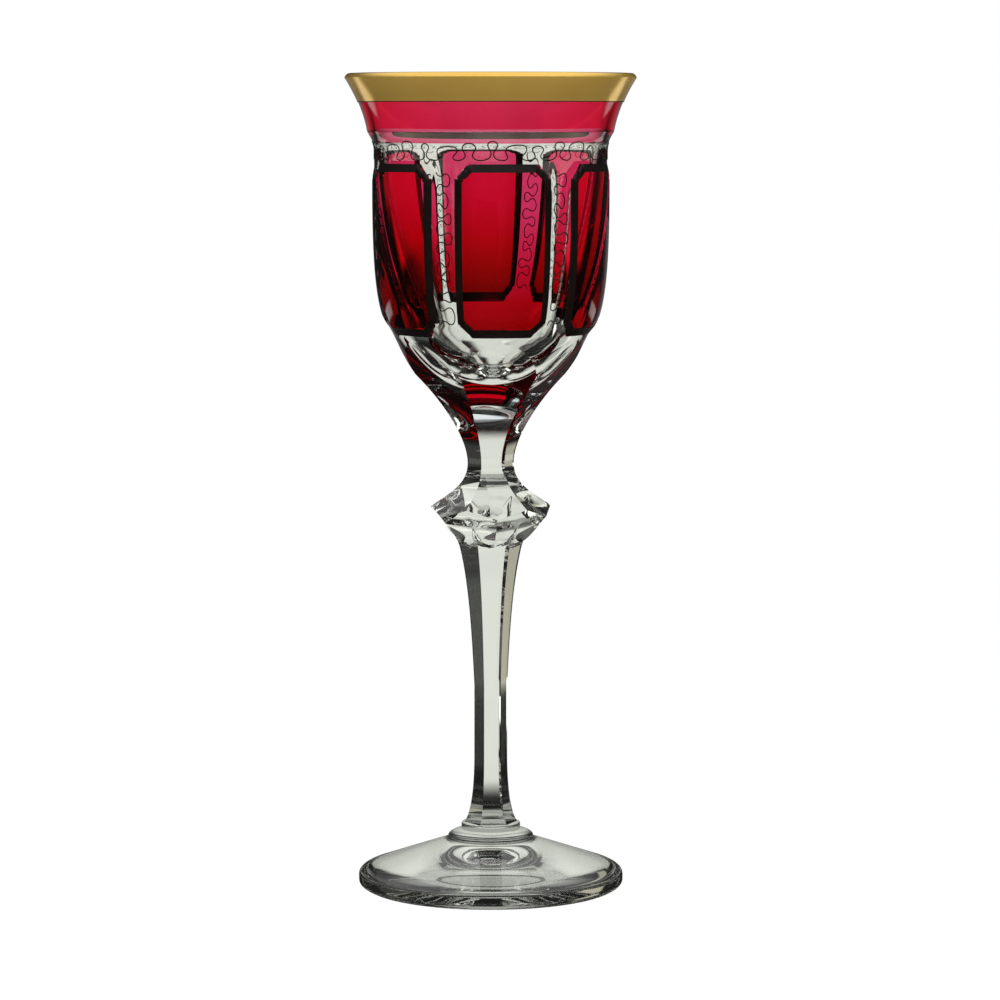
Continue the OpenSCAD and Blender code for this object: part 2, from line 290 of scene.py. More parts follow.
def makeDarkLine(look):  # painted shade: gilding coloured nearly black, as gold looks against the light
    m, tree, paint = newMaterial("paintedShadeLine")
    tree.links.new(cloudTint(tree, look), paint.inputs["Base Color"])
    setInputs(paint, {"Metallic": look["metallic"], "Roughness": look["roughness"]})
    return m


crystal, fused = makeCrystal(crystalLook), makeFused()
gold, paintedShadeLine = makeGold(goldLook), makeDarkLine(lineLook)
bandRuby, panelRuby = makeRuby("bandRuby", *rubyLook["band"]), makeRuby("panelRuby", *rubyLook["panel"])
print("materials made")


# Foot: hollow, edge, sloping top, boss and button, turned in one ring
footSizes = {"radius": 35.1, "edgeHeight": 5.4, "lowRound": 2.1, "topRound": 2.0, "hollowRadius": 31.0,
             "hollowDepth": 5.6, "slopeTop": 11.8, "bossRadius": 11.3, "bossTop": 15.5, "bossSpread": 3.6,
             "buttonRadius": 7.8, "buttonRound": 0.3, "top": 17.2, "stemFlat": 6.1, "columns": 192}


def makeFoot(s):
    r, low, hollow, depth = s["radius"], s["lowRound"], s["hollowRadius"], s["hollowDepth"]
    boss, button, edge = s["bossRadius"], s["buttonRadius"], s["buttonRound"]
    shoulder, crest = (boss + s["bossSpread"], s["slopeTop"]), (r - s["topRound"], s["edgeHeight"])
    share = midway * s["topRound"] / (crest[0] - shoulder[0])
    guide = [p + (p - q) * share for p, q in zip(crest, shoulder)]
    rise, bossMid = s["bossTop"] - s["slopeTop"], (s["slopeTop"] + s["bossTop"]) / 2
    line = bend((0, depth), (hollow * midway, depth), (hollow * most, depth * near), (hollow, 0), 16)
    line += [(r - low, 0)]
    line += bend(line[-1], (r - low * near, low * near), (r, low * midway), (r, low), 7)
    line += [(r, s["edgeHeight"] - s["topRound"])]
    line += bend(line[-1], (r, s["edgeHeight"] - s["topRound"] * midway), guide, crest, 8)
    line += straight(crest, shoulder, 6)
    line += bend(shoulder, (shoulder[0] - s["bossSpread"] * midway, shoulder[1] + rise * slight),
                 (boss, s["slopeTop"] + rise * near), (boss, bossMid), 9)
    line += bend(line[-1], (boss, s["slopeTop"] + rise * most),
                 (button + s["top"] - s["bossTop"], s["bossTop"] - rise * near * near),
                 (button, s["bossTop"]), 9)
    line += [(button, s["top"] - edge), (button - edge / 3, s["top"] - edge * near), (button - edge, s["top"])]
    piece = startRing("crystalFoot", s["columns"], lambda turn: line[0])
    growRound(piece, line[1:])
    growSix(piece, [(s["stemFlat"], s["top"])])
    capRing(piece, s["top"])
    capRing(piece, line[0][1])
    endEdit(piece, 30)
    dress(piece, [crystal, fused], ["foot"])
    markFaces(piece, lambda c: c.z > (s["top"] - hair) * mm and math.hypot(c.x, c.y) < s["stemFlat"] * mm / 2)


makeFoot(footSizes)


# Stem: flared shaft, knop with its zigzag girdle, lower half of the neck
stemSizes = {"bottom": footSizes["top"], "footFlat": footSizes["stemFlat"], "waistFlat": 3.8, "waistLow": 36.0,
             "waistHigh": 54.0, "throat": 91.2, "throatFlat": 7.2, "throatOut": 10.54, "underRise": 0.45,
             "knopRadius": 15.9, "point": 101.7, "girdleDrop": 2.3, "joint": 113.0, "neckFlat": 5.3,
             "valleyRoom": 0.4, "levelRise": 0.6, "ringRoom": 0.2, "columns": 48}


def makeStem(s):
    waist, throat, neck = s["waistFlat"], s["throatFlat"], s["neckFlat"]
    spread, rise = s["footFlat"] - waist, s["waistLow"] - s["bottom"]
    shaft = [(s["footFlat"], s["bottom"])]
    shaft += bend(shaft[-1], (waist + spread * near, s["bottom"] + rise * slight),
                  (waist, s["bottom"] + rise * midway), (waist, s["waistLow"]), 14)
    shaft += straight(shaft[-1], (waist, s["waistHigh"]), 3)
    spread, rise = throat - waist, s["throat"] - s["waistHigh"]
    shaft += bend(shaft[-1], (waist + spread * slight, s["waistHigh"] + rise * near),
                  (waist + spread * near, s["waistHigh"] + rise * most), (throat, s["throat"]), 16)
    spread, rise = s["throatOut"] - throat, s["point"] - s["throat"]
    flare = (s["throatOut"], s["throat"] + rise * midway)
    shaft += bend(shaft[-1], (throat + spread * slight, s["throat"] + rise * slight),
                  (throat + spread * near, s["throat"] + rise * near), flare, 12)
    inner, lowZ = s["knopRadius"] * flatShare, s["point"] - s["girdleDrop"]
    girdleSlope = s["girdleDrop"] / (s["knopRadius"] - inner)
    under = [(throat * flatShare, s["throat"])]
    under += bend((throat * flatShare, s["throat"] + s["underRise"]), (inner * most, s["throat"] + rise * slight),
                  (inner - s["girdleDrop"] / girdleSlope, lowZ - s["girdleDrop"]), (inner, lowZ), 40)
    under += [(s["knopRadius"], s["point"])]
    rise = s["joint"] - s["point"]
    flutes = [(s["knopRadius"], lowZ), (inner, s["point"])]
    flutes += bend(flutes[-1], (inner - (inner - neck) * midway, s["point"] + rise * near),
                   (neck, s["point"] + rise * midway), (neck, s["joint"]), 30)

    def onShaft(z, turn):
        return sixSided(between(shaft, z), turn)

    def onUnder(z, turn):
        return sixSided(between(under, z), turn, True)

    def onFlutes(z, turn):
        return sixSided(between(flutes, z), turn)

    def valley(turn):  # height at which the shaft's flats meet the knop's under facets
        return searchHeight(s["throat"], flare[1], lambda z: onShaft(z, turn) > onUnder(z, turn))

    def girdle(turn):  # height of the zigzag edge
        a, b = 1 / sixSided(1, turn, True), 1 / sixSided(1, turn)
        k = girdleSlope
        return ((inner + s["point"] / k) * a - (inner - lowZ / k) * b) / ((a + b) / k)

    lowest = min(valley(math.radians(t)) for t in range(-90, -59, 2)) - s["valleyRoom"]
    level = s["point"] + s["levelRise"]
    piece = startRing("crystalStem", s["columns"], lambda turn: (sixSided(s["footFlat"], turn), s["bottom"]))
    growSix(piece, [p for p in shaft[1:] if p[1] < lowest - s["ringRoom"]])
    growBetween(piece, lambda turn: lowest, valley, onShaft, range(0, 5))
    growBetween(piece, valley, girdle, onUnder, range(1, 15))
    growBetween(piece, girdle, lambda turn: level, onFlutes, range(1, 5))
    growSix(piece, [p for p in flutes[2:] if p[1] > level + s["ringRoom"]])
    capRing(piece, s["bottom"])
    capRing(piece, s["joint"])
    endEdit(piece, 14)
    dress(piece, [crystal, fused], ["stem"])
    markFaces(piece, lambda c: c.z < (s["bottom"] + hair) * mm or c.z > (s["joint"] - hair) * mm)


makeStem(stemSizes)


# Bowl: six-sided base, ground of the panels, collar, cove, seat of the ruby band, flared lip and inside
bowlSizes = {"joint": stemSizes["joint"], "neckFlat": stemSizes["neckFlat"], "turn": 132.0, "turnFlat": 13.6,
             "facetOut": 0.55, "facetLean": 0.8, "bodyLow": 16.0, "bodySwell": 5.6, "bodyRise": 4.6,
             "bodyLean": 0.5, "panelLow": 147.3, "panelTop": 191.8, "bevel": 2.1, "lowRadius": 27.5,
             "faceRadius": 31.1, "relief": 0.6, "lowLean": 0.55, "uprightHeight": 7.5, "collarRadius": 30.5,
             "collarSlope": 1.6, "collar": 194.6, "band": 200.0, "bandRadius": 32.3, "casing": 0.8,
             "gilding": 207.8, "gildingInside": 212.6, "rimRadius": 38.0, "rim": 215.0, "lipWall": 2.0,
             "lipEdge": 1.6, "flareLean": 0.18, "wall": 2.4, "bandWall": 2.2, "insideTop": 189.2,
             "insideBottom": 138.6, "insideUpright": 13.0, "insideLean": 0.125, "insideRound": 21.5,
             "stripDepth": 0.4, "stripFade": 4.0, "columns": 360}
panelSizes = {"angle": 48.0, "corner": 3.8, "gap": 0.02, "lineGap": 0.01, "lineThickness": 0.05,
              "netAcross": 16, "netUp": 36, "count": 6}
lipZ = bowlSizes["rim"] - bowlSizes["lipWall"] / 2  # where the lip begins to turn in
panelHalf = math.radians(panelSizes["angle"] / 2)


def flareRadius(z):
    s = bowlSizes
    height = lipZ - s["band"]
    sweep = (s["rimRadius"] - s["bandRadius"] - s["flareLean"] * height) / height ** 2
    return s["bandRadius"] + s["flareLean"] * (z - s["band"]) + sweep * (z - s["band"]) ** 2


def flareLine(z0, z1, shift, steps):
    heights = [z0 + (z1 - z0) * i / steps for i in range(steps + 1)]
    return [(flareRadius(z) + shift, z) for z in heights]


def lipLine(grow, steps):  # top of the lip from its outer edge, which is nearly sharp, to the inside
    s = bowlSizes
    half = s["lipWall"] / 2
    line = []
    for i in range(1, steps):
        turn = math.pi * i / steps
        rise = math.sin(turn) ** (s["lipEdge"] if turn < math.pi / 2 else 1.0)
        line.append((s["rimRadius"] - half + (half + grow) * math.cos(turn), lipZ + (half + grow) * rise))
    return line


def groundLine(s):  # clear ground on which the panels lie
    bevelZ, uprightZ = s["panelLow"] + s["bevel"], s["panelTop"] - s["uprightHeight"]
    lowR, faceR = s["lowRadius"] - s["relief"], s["faceRadius"] - s["relief"]
    guide = (uprightZ - bevelZ) * slight
    line = [(lowR - s["bevel"] * s["lowLean"], s["panelLow"]), (lowR, bevelZ)]
    line += bend(line[-1], (lowR + guide * s["lowLean"], bevelZ + guide),
                 (faceR, bevelZ + (uprightZ - bevelZ) * midway), (faceR, uprightZ), 26)
    return line + [(faceR, (uprightZ + s["panelTop"]) / 2), (faceR, s["panelTop"])]


def makeCollarLine(s):  # from the panels' ground over the collar and the cove to the ruby band
    r, cove, out = s["collarRadius"], s["band"] - s["collar"], s["bandRadius"] - s["collarRadius"]
    line = [ground[-1], (r, s["panelTop"] + s["collarSlope"]), (r, s["collar"])]
    return line + bend(line[-1], (r, s["collar"] + cove * midway),
                       (r + out * midway, s["band"] - cove * near), (s["bandRadius"], s["band"]), 12)


ground = groundLine(bowlSizes)
groundRef = ground[-1][0]
collarLine = makeCollarLine(bowlSizes)


def stripHollow(turn, z):  # how far the clear strips between the panels are ground hollow
    s = bowlSizes
    off = ((math.degrees(turn) + 90) % 60 - 30) / (30 - panelSizes["angle"] / 2)
    rise = min(z - s["panelLow"], s["panelTop"] - z) / s["stripFade"]
    return s["stripDepth"] * max(0, 1 - off * off) * max(0, min(1, rise))


def panelPlace(x, y):  # direction off the front, and height, in the flat drawing of a panel
    return x / groundRef, y + bowlSizes["panelLow"]


def insideLine(s):  # from the lip down to the bottom of the wine
    line = flareLine(lipZ, s["gildingInside"], -s["lipWall"], 3)
    for share in (i / 8 for i in range(1, 9)):  # a wall that is hardly thicker at the step than at the gilding
        z = s["gildingInside"] + (s["band"] - s["gildingInside"]) * share
        line.append((flareRadius(z) - s["lipWall"] - (s["bandWall"] - s["lipWall"]) * share, z))
    top, lean = (s["collarRadius"] - s["wall"], s["insideTop"]), s["insideLean"]
    reach = (s["band"] - s["insideTop"]) * near
    line += bend(line[-1], (line[-1][0] - reach * s["flareLean"], s["band"] - reach),
                 (top[0] + reach * lean, top[1] + reach), top, 14)
    bottom = bend(top, (top[0] - s["insideUpright"] * lean, top[1] - s["insideUpright"]),
                  (s["insideRound"], s["insideBottom"]), (0, s["insideBottom"]), 44)
    return line + bottom[:-1]


def makeBowl(s):
    neck, flat, edge = s["neckFlat"], s["turnFlat"], ground[0][0]
    out, rise = (flat - neck) * midway, (s["turn"] - s["joint"]) * near
    reach, facetTop = (s["panelLow"] - s["turn"]) * near, edge + s["facetOut"]
    facet = [(neck, s["joint"])]
    facet += bend(facet[0], (neck, s["joint"] + rise), (flat - out, s["turn"] - rise), (flat, s["turn"]), 18)
    facet += bend(facet[-1], (flat + out * most, s["turn"] + rise * most),
                  (facetTop - reach * s["facetLean"], s["panelLow"] - reach), (facetTop, s["panelLow"]), 30)
    body = [(s["bodyLow"], s["turn"])]
    body += bend(body[0], (s["bodyLow"] + s["bodySwell"], s["turn"] + s["bodySwell"]),
                 (edge - s["bodyRise"] * s["bodyLean"], s["panelLow"] - s["bodyRise"]), (edge, s["panelLow"]), 40)
    arches = {}

    def onFacet(z, turn):
        return sixSided(between(facet, z), turn)

    def onBody(z, turn):
        return min(between(body, z), onFacet(z, turn))

    def arch(turn):  # height at which a facet runs out on the round body
        key = round(turn, 5)
        if key not in arches:
            arches[key] = searchHeight(s["turn"], s["panelLow"], lambda z: onFacet(z, turn) < between(body, z))
        return arches[key]

    piece = startRing("crystalBowl", s["columns"], lambda turn: (sixSided(neck, turn), s["joint"]))
    growSix(piece, [p for p in facet[1:] if p[1] < s["turn"] + hair])
    growBetween(piece, lambda turn: s["turn"], arch, onFacet, range(1, 25))
    bpy.ops.mesh.mark_sharp()
    growBetween(piece, arch, lambda turn: s["panelLow"], onBody, range(1, 9), plain=True)
    for r, z in ground[1:]:
        growRing(piece, lambda turn: (r - stripHollow(turn, z), z))
    inside = insideLine(s)
    growRound(piece, collarLine[1:] + flareLine(s["band"], s["gilding"], -s["casing"], 6))
    growRound(piece, flareLine(s["gilding"], lipZ, 0, 8) + lipLine(0, 8) + inside)
    capRing(piece, inside[-1][1])
    capRing(piece, s["joint"])
    cutCorners(piece, s, panelSizes["corner"])
    endEdit(piece, 10)
    dress(piece, [crystal, fused], ["bowl"])
    markFaces(piece, lambda c: underOthers(c, s))


def cutCorners(piece, s, corner):  # edges across the ground at the panels' cut corners
    height, side = s["panelTop"] - s["panelLow"], panelHalf * groundRef
    bpy.ops.mesh.select_mode(type="FACE")
    for i in range(panelSizes["count"]):
        middle = math.radians(-90 + 60 * i)
        for hand, low in ((-1, True), (-1, False), (1, True), (1, False)):
            ends = []
            for x, y in ((side - corner, 0), (side, corner)):
                off, z = panelPlace(hand * x, y if low else height - y)
                r = between(ground, z)
                ends.append((r * math.cos(middle + off), r * math.sin(middle + off), z))
            mid = [(p + q) / 2 for p, q in zip(*ends)]
            along = [q - p for p, q in zip(*ends)]
            normal = (-along[2] * mid[1], along[2] * mid[0], along[0] * mid[1] - along[1] * mid[0])
            zLow, zHigh = sorted(z for x, y, z in ends)
            bpy.ops.mesh.select_all(action="DESELECT")
            mesh = bmesh.from_edit_mesh(piece.data)
            for f in mesh.faces:  # only the outer faces near this corner
                c = f.calc_center_median() / mm
                if zLow < c.z < zHigh and math.hypot(c.x, c.y) > between(ground, c.z) - s["relief"]:
                    off = (math.atan2(c.y, c.x) - middle + math.pi) % math.tau - math.pi
                    if max(0, panelHalf - corner / groundRef - 0.06) < off * hand < panelHalf:
                        f.select = True
            bmesh.update_edit_mesh(piece.data)
            bpy.ops.mesh.bisect(plane_co=[v * mm for v in mid], plane_no=normal)
    bpy.ops.mesh.select_mode(type="VERT")


def underOthers(c, s):  # true where another piece is fused to the bowl
    x, y, z = (v / mm for v in c)
    r = math.hypot(x, y)
    if z < s["joint"] + hair:
        return True
    if s["panelLow"] < z < s["panelTop"] and abs(r - between(ground, z)) < 2 * margin:
        off = (math.degrees(math.atan2(y, x)) + 90 + 30) % 60 - 30
        inward = panelHalf * groundRef - abs(math.radians(off)) * groundRef  # from the panel's side
        return inward > 0 and inward > panelSizes["corner"] - min(z - s["panelLow"], s["panelTop"] - z)
    if s["band"] - hair < z < s["gilding"] + hair and r > flareRadius(z) - s["casing"] - margin:
        return True
    if z > s["gilding"] and r > flareRadius(min(z, lipZ)) - 2 * margin:
        return True
    return z > s["gildingInside"]


makeBowl(bowlSizes)


# Ruby band between the cove and the gilding
def makeBand(s, gap):
    outer = flareLine(s["band"] + gap, s["gilding"] - gap, 0, 6)
    inner = flareLine(s["gilding"] - gap, s["band"] + gap, gap - s["casing"], 6)
    piece = startRing("rubyRimBand", s["columns"], lambda turn: outer[0])
    growRound(piece, outer[1:] + inner + outer[:1])
    joinEnds()
    endEdit(piece, 30)
    dress(piece, [bandRuby], ["ruby_rim_band"])
    fuseFaces(piece, lambda c: math.hypot(c.x, c.y) / mm < flareRadius(c.z / mm) - s["casing"] / 4)


makeBand(bowlSizes, panelSizes["gap"])


# Ruby panel, drawn flat with cut corners and a bevel, then laid round the bowl
def cutAll(place, normal, **options):
    bpy.ops.mesh.select_all(action="SELECT")
    bpy.ops.mesh.bisect(plane_co=place, plane_no=normal, **options)


def makePanel(s, p):
    side, height, corner = panelHalf * groundRef, s["panelTop"] - s["panelLow"], p["corner"]
    bpy.ops.object.select_all(action="DESELECT")
    bpy.ops.mesh.primitive_plane_add(size=1, location=(0, 0, 0))
    piece = nameNew("rubyPanel1")
    bpy.ops.object.mode_set(mode="EDIT")
    bpy.ops.mesh.select_all(action="SELECT")
    bpy.ops.transform.resize(value=(2 * side, height, 1), center_override=(0, 0, 0))
    bpy.ops.transform.translate(value=(0, height / 2, 0))
    for hand in (-1, 1):  # cut corners
        for y, up in ((0, -1), (height, 1)):
            cutAll((hand * (side - corner), y, 0), (hand, up, 0), clear_outer=True)
    bpy.ops.mesh.select_all(action="SELECT")
    bpy.ops.mesh.extrude_region_move()
    bpy.ops.mesh.inset(thickness=s["bevel"], depth=0, use_even_offset=True)
    bpy.ops.transform.translate(value=(0, 0, s["relief"]))
    for i in range(1 - p["netAcross"], p["netAcross"]):  # a fine net, so that the panel can follow the bowl
        cutAll((i * side / p["netAcross"], 0, 0), (1, 0, 0))
    for i in range(1, p["netUp"]):
        cutAll((0, i * height / p["netUp"], 0), (0, 1, 0))
    bpy.ops.mesh.select_all(action="SELECT")
    bpy.ops.mesh.remove_doubles(threshold=1e-5)
    mesh = bmesh.from_edit_mesh(piece.data)
    for v in mesh.verts:
        off, z = panelPlace(v.co.x, v.co.y)
        r = between(ground, z) + p["gap"] + v.co.z
        v.co = (r * mm * math.sin(off), -r * mm * math.cos(off), z * mm)
    bmesh.update_edit_mesh(piece.data)
    endEdit(piece, 14)
    fuseFaces(piece, lambda c: math.hypot(c.x, c.y) / mm - between(ground, c.z / mm) < s["relief"] - 2 * margin)
    return piece


def copyPanel(panel, i):
    selectOnly(panel)
    bpy.ops.object.duplicate(linked=False)
    copy = nameNew(f"rubyPanel{i + 1}")
    copy.rotation_euler = (0, 0, math.radians(60 * i))
    bpy.ops.object.transform_apply(location=False, rotation=True, scale=False)
    return copy


def makeLine(panel, s, p):  # a near-black sheet over a panel's bevel: painted shade for the dark bevel
    selectOnly(panel)
    bpy.ops.object.mode_set(mode="EDIT")
    bpy.ops.mesh.select_mode(type="FACE")
    bpy.ops.mesh.select_all(action="DESELECT")
    mesh = bmesh.from_edit_mesh(panel.data)
    for f in mesh.faces:
        c = f.calc_center_median() / mm
        f.select = margin < math.hypot(c.x, c.y) - between(ground, c.z) - p["gap"] < s["relief"] - margin
    bmesh.update_edit_mesh(panel.data)
    bpy.ops.mesh.duplicate()
    bpy.ops.mesh.separate(type="SELECTED")
    bpy.ops.object.mode_set(mode="OBJECT")
    line = [o for o in bpy.context.selected_objects if o != panel][0]
    line.name = line.data.name = panel.name.replace("rubyPanel", "bevelShade")
    selectOnly(line)
    bpy.ops.object.mode_set(mode="EDIT")
    bpy.ops.mesh.select_all(action="SELECT")
    bpy.ops.transform.shrink_fatten(value=p["lineGap"] * mm)
    bpy.ops.object.mode_set(mode="OBJECT")
    coat = line.modifiers.new("coat", "SOLIDIFY")
    coat.thickness = p["lineThickness"] * mm
    coat.offset = 1
    bpy.ops.object.modifier_apply(modifier="coat")
    return line


rubyPanels = [makePanel(bowlSizes, panelSizes)]
rubyPanels += [copyPanel(rubyPanels[0], i) for i in range(1, panelSizes["count"])]
# painted shade: near-black sheets laid over the panels' bevels
bevelShades = [makeLine(panel, bowlSizes, panelSizes) for panel in rubyPanels]
for i, panel in enumerate(rubyPanels):
    dress(panel, [panelRuby], [f"ruby_panel_{i + 1}"])
for line in bevelShades:
    dress(line, [paintedShadeLine], [])


# Scroll: one wandering hair line round the collar, one down each strip of clear glass
scrollSizes = {"radius": 0.165, "collarHeight": 194.9, "collarReach": 2.1, "collarWaves": 32,
               "stripLow": 150.5, "stripHigh": 190.2, "stripReach": 1.95, "stripWaves": 8, "lean": 1.88,
               "skew": 0.4, "sway": 0.5, "uneven": 0.16, "drift": 0.06, "bias": 1.0, "pointsPerWave": 36,
               "shadowLineOut": 0.1, "shadowLinePoints": 240}


def outerRadius(z):  # clear surface from the panels' ground up to the ruby band
    return between(ground if z <= bowlSizes["panelTop"] else collarLine, z)


def curl(points, lean, skew, phase):  # one wave of the scroll, a line that leans back on itself
    path, x, y = [], 0.0, 0.0
    for i in range(points):
        path.append((x, y))
        turn = math.tau * (i + 0.5) / points
        head = lean * math.sin(turn) + skew * math.sin(2 * turn + phase)
        x, y = x + math.cos(head), y + math.sin(head)
    across = [q - y * i / points for i, (p, q) in enumerate(path)]
    reach = (max(across) - min(across)) / 2
    return [(p / x, q / reach) for (p, old), q in zip(path, across)]


def wander(waves, s):  # waves of uneven size that never quite repeat, as drawn by a free hand
    path = []
    for k in range(waves):
        grow, shift = 1 + s["uneven"] * math.sin(1.7 * k + 0.5), s["drift"] * math.sin(2.3 * k)
        skew, phase = s["skew"] * math.sin(2.1 * k + 1), s["sway"] * math.sin(1.9 * k)
        for x, y in curl(s["pointsPerWave"], s["lean"], skew, phase):
            path.append(((k + x + shift * math.sin(math.tau * x)) / waves, y * grow - s["bias"]))
    return path


def makeScroll(name, points, closed, s):
    bpy.ops.object.select_all(action="DESELECT")
    bpy.ops.mesh.primitive_circle_add(vertices=len(points), radius=0.03, location=(0, 0, 0))
    piece = nameNew(name)
    bpy.ops.object.mode_set(mode="EDIT")
    mesh = bmesh.from_edit_mesh(piece.data)
    for v, point in zip(mesh.verts, points):
        v.co = point
    bpy.ops.mesh.select_mode(type="EDGE")
    bpy.ops.mesh.select_all(action="DESELECT")
    for e in mesh.edges:
        e.select = not closed and sorted(v.index for v in e.verts) == [0, len(points) - 1]
    bmesh.update_edit_mesh(piece.data)
    if not closed:
        bpy.ops.mesh.delete(type="EDGE")
    bpy.ops.object.mode_set(mode="OBJECT")
    bpy.ops.object.convert(target="CURVE")
    piece.data.bevel_depth = s["radius"] * mm
    piece.data.bevel_resolution = 1
    piece.data.use_fill_caps = True
    bpy.ops.object.convert(target="MESH")
    piece.data.name = name
    bpy.ops.object.shade_smooth()
    # the scroll lines are real; their near-black colour is painted shade
    dress(piece, [paintedShadeLine], [])


def atPlace(r, turn, z):
    return (r * mm * math.cos(turn), r * mm * math.sin(turn), z * mm)


def onGlass(turn, z):
    return atPlace(outerRadius(z) - stripHollow(turn, z), turn, z)


def makeScrolls(s):
    path = wander(s["collarWaves"], s)
    points = [onGlass(math.tau * x, s["collarHeight"] + s["collarReach"] * y) for x, y in path]
    makeScroll("collarScroll", points, True, s)
    edge, count = flareRadius(bowlSizes["gilding"]) + s["shadowLineOut"], s["shadowLinePoints"]
    points = [atPlace(edge, math.tau * i / count, bowlSizes["gilding"]) for i in range(count)]
    makeScroll("shadowLineUnderGold", points, True, s)  # painted shadow: a thin near-black line under the gilding's edge
    for k in range(panelSizes["count"]):
        points = []
        for x, y in wander(s["stripWaves"], s):
            z = s["stripLow"] + (s["stripHigh"] - s["stripLow"]) * x
            points.append(onGlass(math.radians(-60 + 60 * k) + s["stripReach"] * y / outerRadius(z), z))
        makeScroll(f"stripScroll{k + 1}", points, False, s)


makeScrolls(scrollSizes)


# Gilding over the lip
goldSizes = {"thickness": 0.2, "columns": 240, "inset": 0.01}


def coatLine(s, out):  # up the flare, over the lip and just inside it
    line = flareLine(s["gilding"], lipZ, out, 8) + lipLine(out, 8)
    return line + flareLine(lipZ, s["gildingInside"], -s["lipWall"] - out, 3)


def makeGilding(s, g):
    outer, inner = coatLine(s, g["thickness"]), coatLine(s, g["inset"])
    piece = startRing("goldRimBand", g["columns"], lambda turn: outer[0])
    growRound(piece, outer[1:] + inner[::-1] + outer[:1])
    joinEnds()
    endEdit(piece, 30)
    dress(piece, [gold], ["gold_rim_band"])


makeGilding(bowlSizes, goldSizes)


# Floor and light. The glass shows soft patches of light, each with its colour, its level and its limits:
# what is measured, where the light ends, where it is full, and the middle if it is counted from one.
# Directions are in degrees from straight behind the glass: around it to 180, folded to 90, or half a turn.
stageSizes = {"floor": 6.0, "drop": 0.0002, "white": 1.12, "shadowShare": 0.14, "fill": 0.3, "turn": -6.4,
              "dark": 0.012, "floorGleam": 0.02, "skyGleam": 0.03, "paint": (0.9, 0.9, 0.9, 1), "roughness": 0.9}
lightTints = {"pale": (0.97, 1.0, 0.91, 1), "warm": (1.0, 0.97, 0.75, 1), "cool": (0.93, 0.97, 1.0, 1),
              "white": (1, 1, 1, 1)}
floorLight = {
    "closeBehind": ("pale", 0.78, ("folded", 20, 8), ("far", 0.5, 0.32), ("far", 0.07, 0.13)),
    "farBehind": ("pale", 0.78, ("folded", 40, 16), ("far", 0.32, 0.5)),
    "right": ("pale", 0.035, ("half", 9, 5, 45), ("far", 0.36, 0.54)),
    "left": ("warm", 0.48, ("half", 9, 5, 135), ("far", 0.36, 0.54)),
    "sides": ("pale", 0.3, ("folded", 9, 5, 90), ("far", 0.36, 0.54)),
    "underFoot": ("pale", 0.4, ("far", 0.034, 0.027)),
    "wideSides": ("pale", 1.4, ("folded", 46, 56), ("far", 0.25, 0.28), ("far", 1.0, 0.8)),
    "behindRight": ("pale", 0.5, ("half", 13, 8, 23), ("far", 0.18, 0.24), ("far", 0.5, 0.42))}
floorMirrored = {
    "behind": ("white", 0.16, ("around", 100, 80), ("folded", 38, 12), ("far", 0.06, 0.1)),
    "bothEnds": ("white", 0.02, ("folded", 38, 12), ("far", 0.06, 0.1)),
    "onGilding": ("white", 1.0, ("around", 12, 6, 45), ("far", 0.5, 0.58), ("far", 0.85, 0.75))}
skyLight = {
    "behind": ("pale", 0.78, ("folded", 28, 12), ("up", 0.53, 0.342)),
    "right": ("pale", 0.035, ("half", 9, 5, 45), ("up", 0.53, 0.342)),
    "left": ("warm", 0.48, ("half", 9, 5, 135), ("up", 0.53, 0.342)),
    "sides": ("pale", 0.3, ("folded", 9, 5, 90), ("up", 0.53, 0.342)),
    "above": ("cool", 0.9, ("around", 95, 120), ("up", 0.9, 0.95)),
    "walls": ("pale", 0.12, ("folded", 60, 75), ("up", 0.35, 0.45), ("up", 0.82, 0.7))}
skyMirrored = {"above": ("white", 1.0, ("up", 0.35, 0.75))}


def sums(tree, operation, a, b=0.0):  # one sum on two sockets or numbers
    n = node(tree, "ShaderNodeMath", operation=operation)
    for socket, value in zip(n.inputs, (a, b)):
        if isinstance(value, (int, float)):
            socket.default_value = value
        else:
            tree.links.new(value, socket)
    return n.outputs[0]


def softStep(tree, value, start, end, middle=None):  # rises smoothly from 0 at start to 1 at end
    if middle is not None:
        value = sums(tree, "ABSOLUTE", sums(tree, "SUBTRACT", value, middle))
    n = node(tree, "ShaderNodeMapRange", interpolation_type="SMOOTHSTEP")
    setInputs(n, {"From Min": start, "From Max": end})
    tree.links.new(value, n.inputs["Value"])
    return n.outputs[0]


def measure(tree, place):  # directions round the glass, distance and height of a place
    axes = node(tree, "ShaderNodeSeparateXYZ")
    length = node(tree, "ShaderNodeVectorMath", operation="LENGTH")
    for n in (axes, length):
        tree.links.new(place, n.inputs[0])
    turn = sums(tree, "ARCTAN2", axes.outputs["X"], axes.outputs["Y"])
    turn = sums(tree, "MULTIPLY", turn, 180 / math.pi)
    turn = sums(tree, "ADD", turn, 720 + stageSizes["turn"])
    return {"around": sums(tree, "PINGPONG", turn, 180.0), "folded": sums(tree, "PINGPONG", turn, 90.0),
            "half": sums(tree, "MODULO", turn, 180.0), "far": length.outputs["Value"], "up": axes.outputs["Z"]}


def glow(tree, strength, tint):
    n = node(tree, "ShaderNodeEmission", Color=lightTints[tint])
    if isinstance(strength, (int, float)):
        n.inputs["Strength"].default_value = strength
    else:
        tree.links.new(strength, n.inputs["Strength"])
    return n.outputs[0]


def patches(tree, measures, table, tint, least):  # all the patches of a table over an even light
    levels = {tint: least}
    for colour, level, *limits in table.values():
        for name, *limit in limits:
            level = sums(tree, "MULTIPLY", softStep(tree, measures[name], *limit), level)
        levels[colour] = sums(tree, "ADD", level, levels[colour]) if colour in levels else level
    light, *others = [glow(tree, level, colour) for colour, level in levels.items()]
    for other in others:
        both = node(tree, "ShaderNodeAddShader")
        tree.links.new(light, both.inputs[0])
        tree.links.new(other, both.inputs[1])
        light = both.outputs[0]
    return light


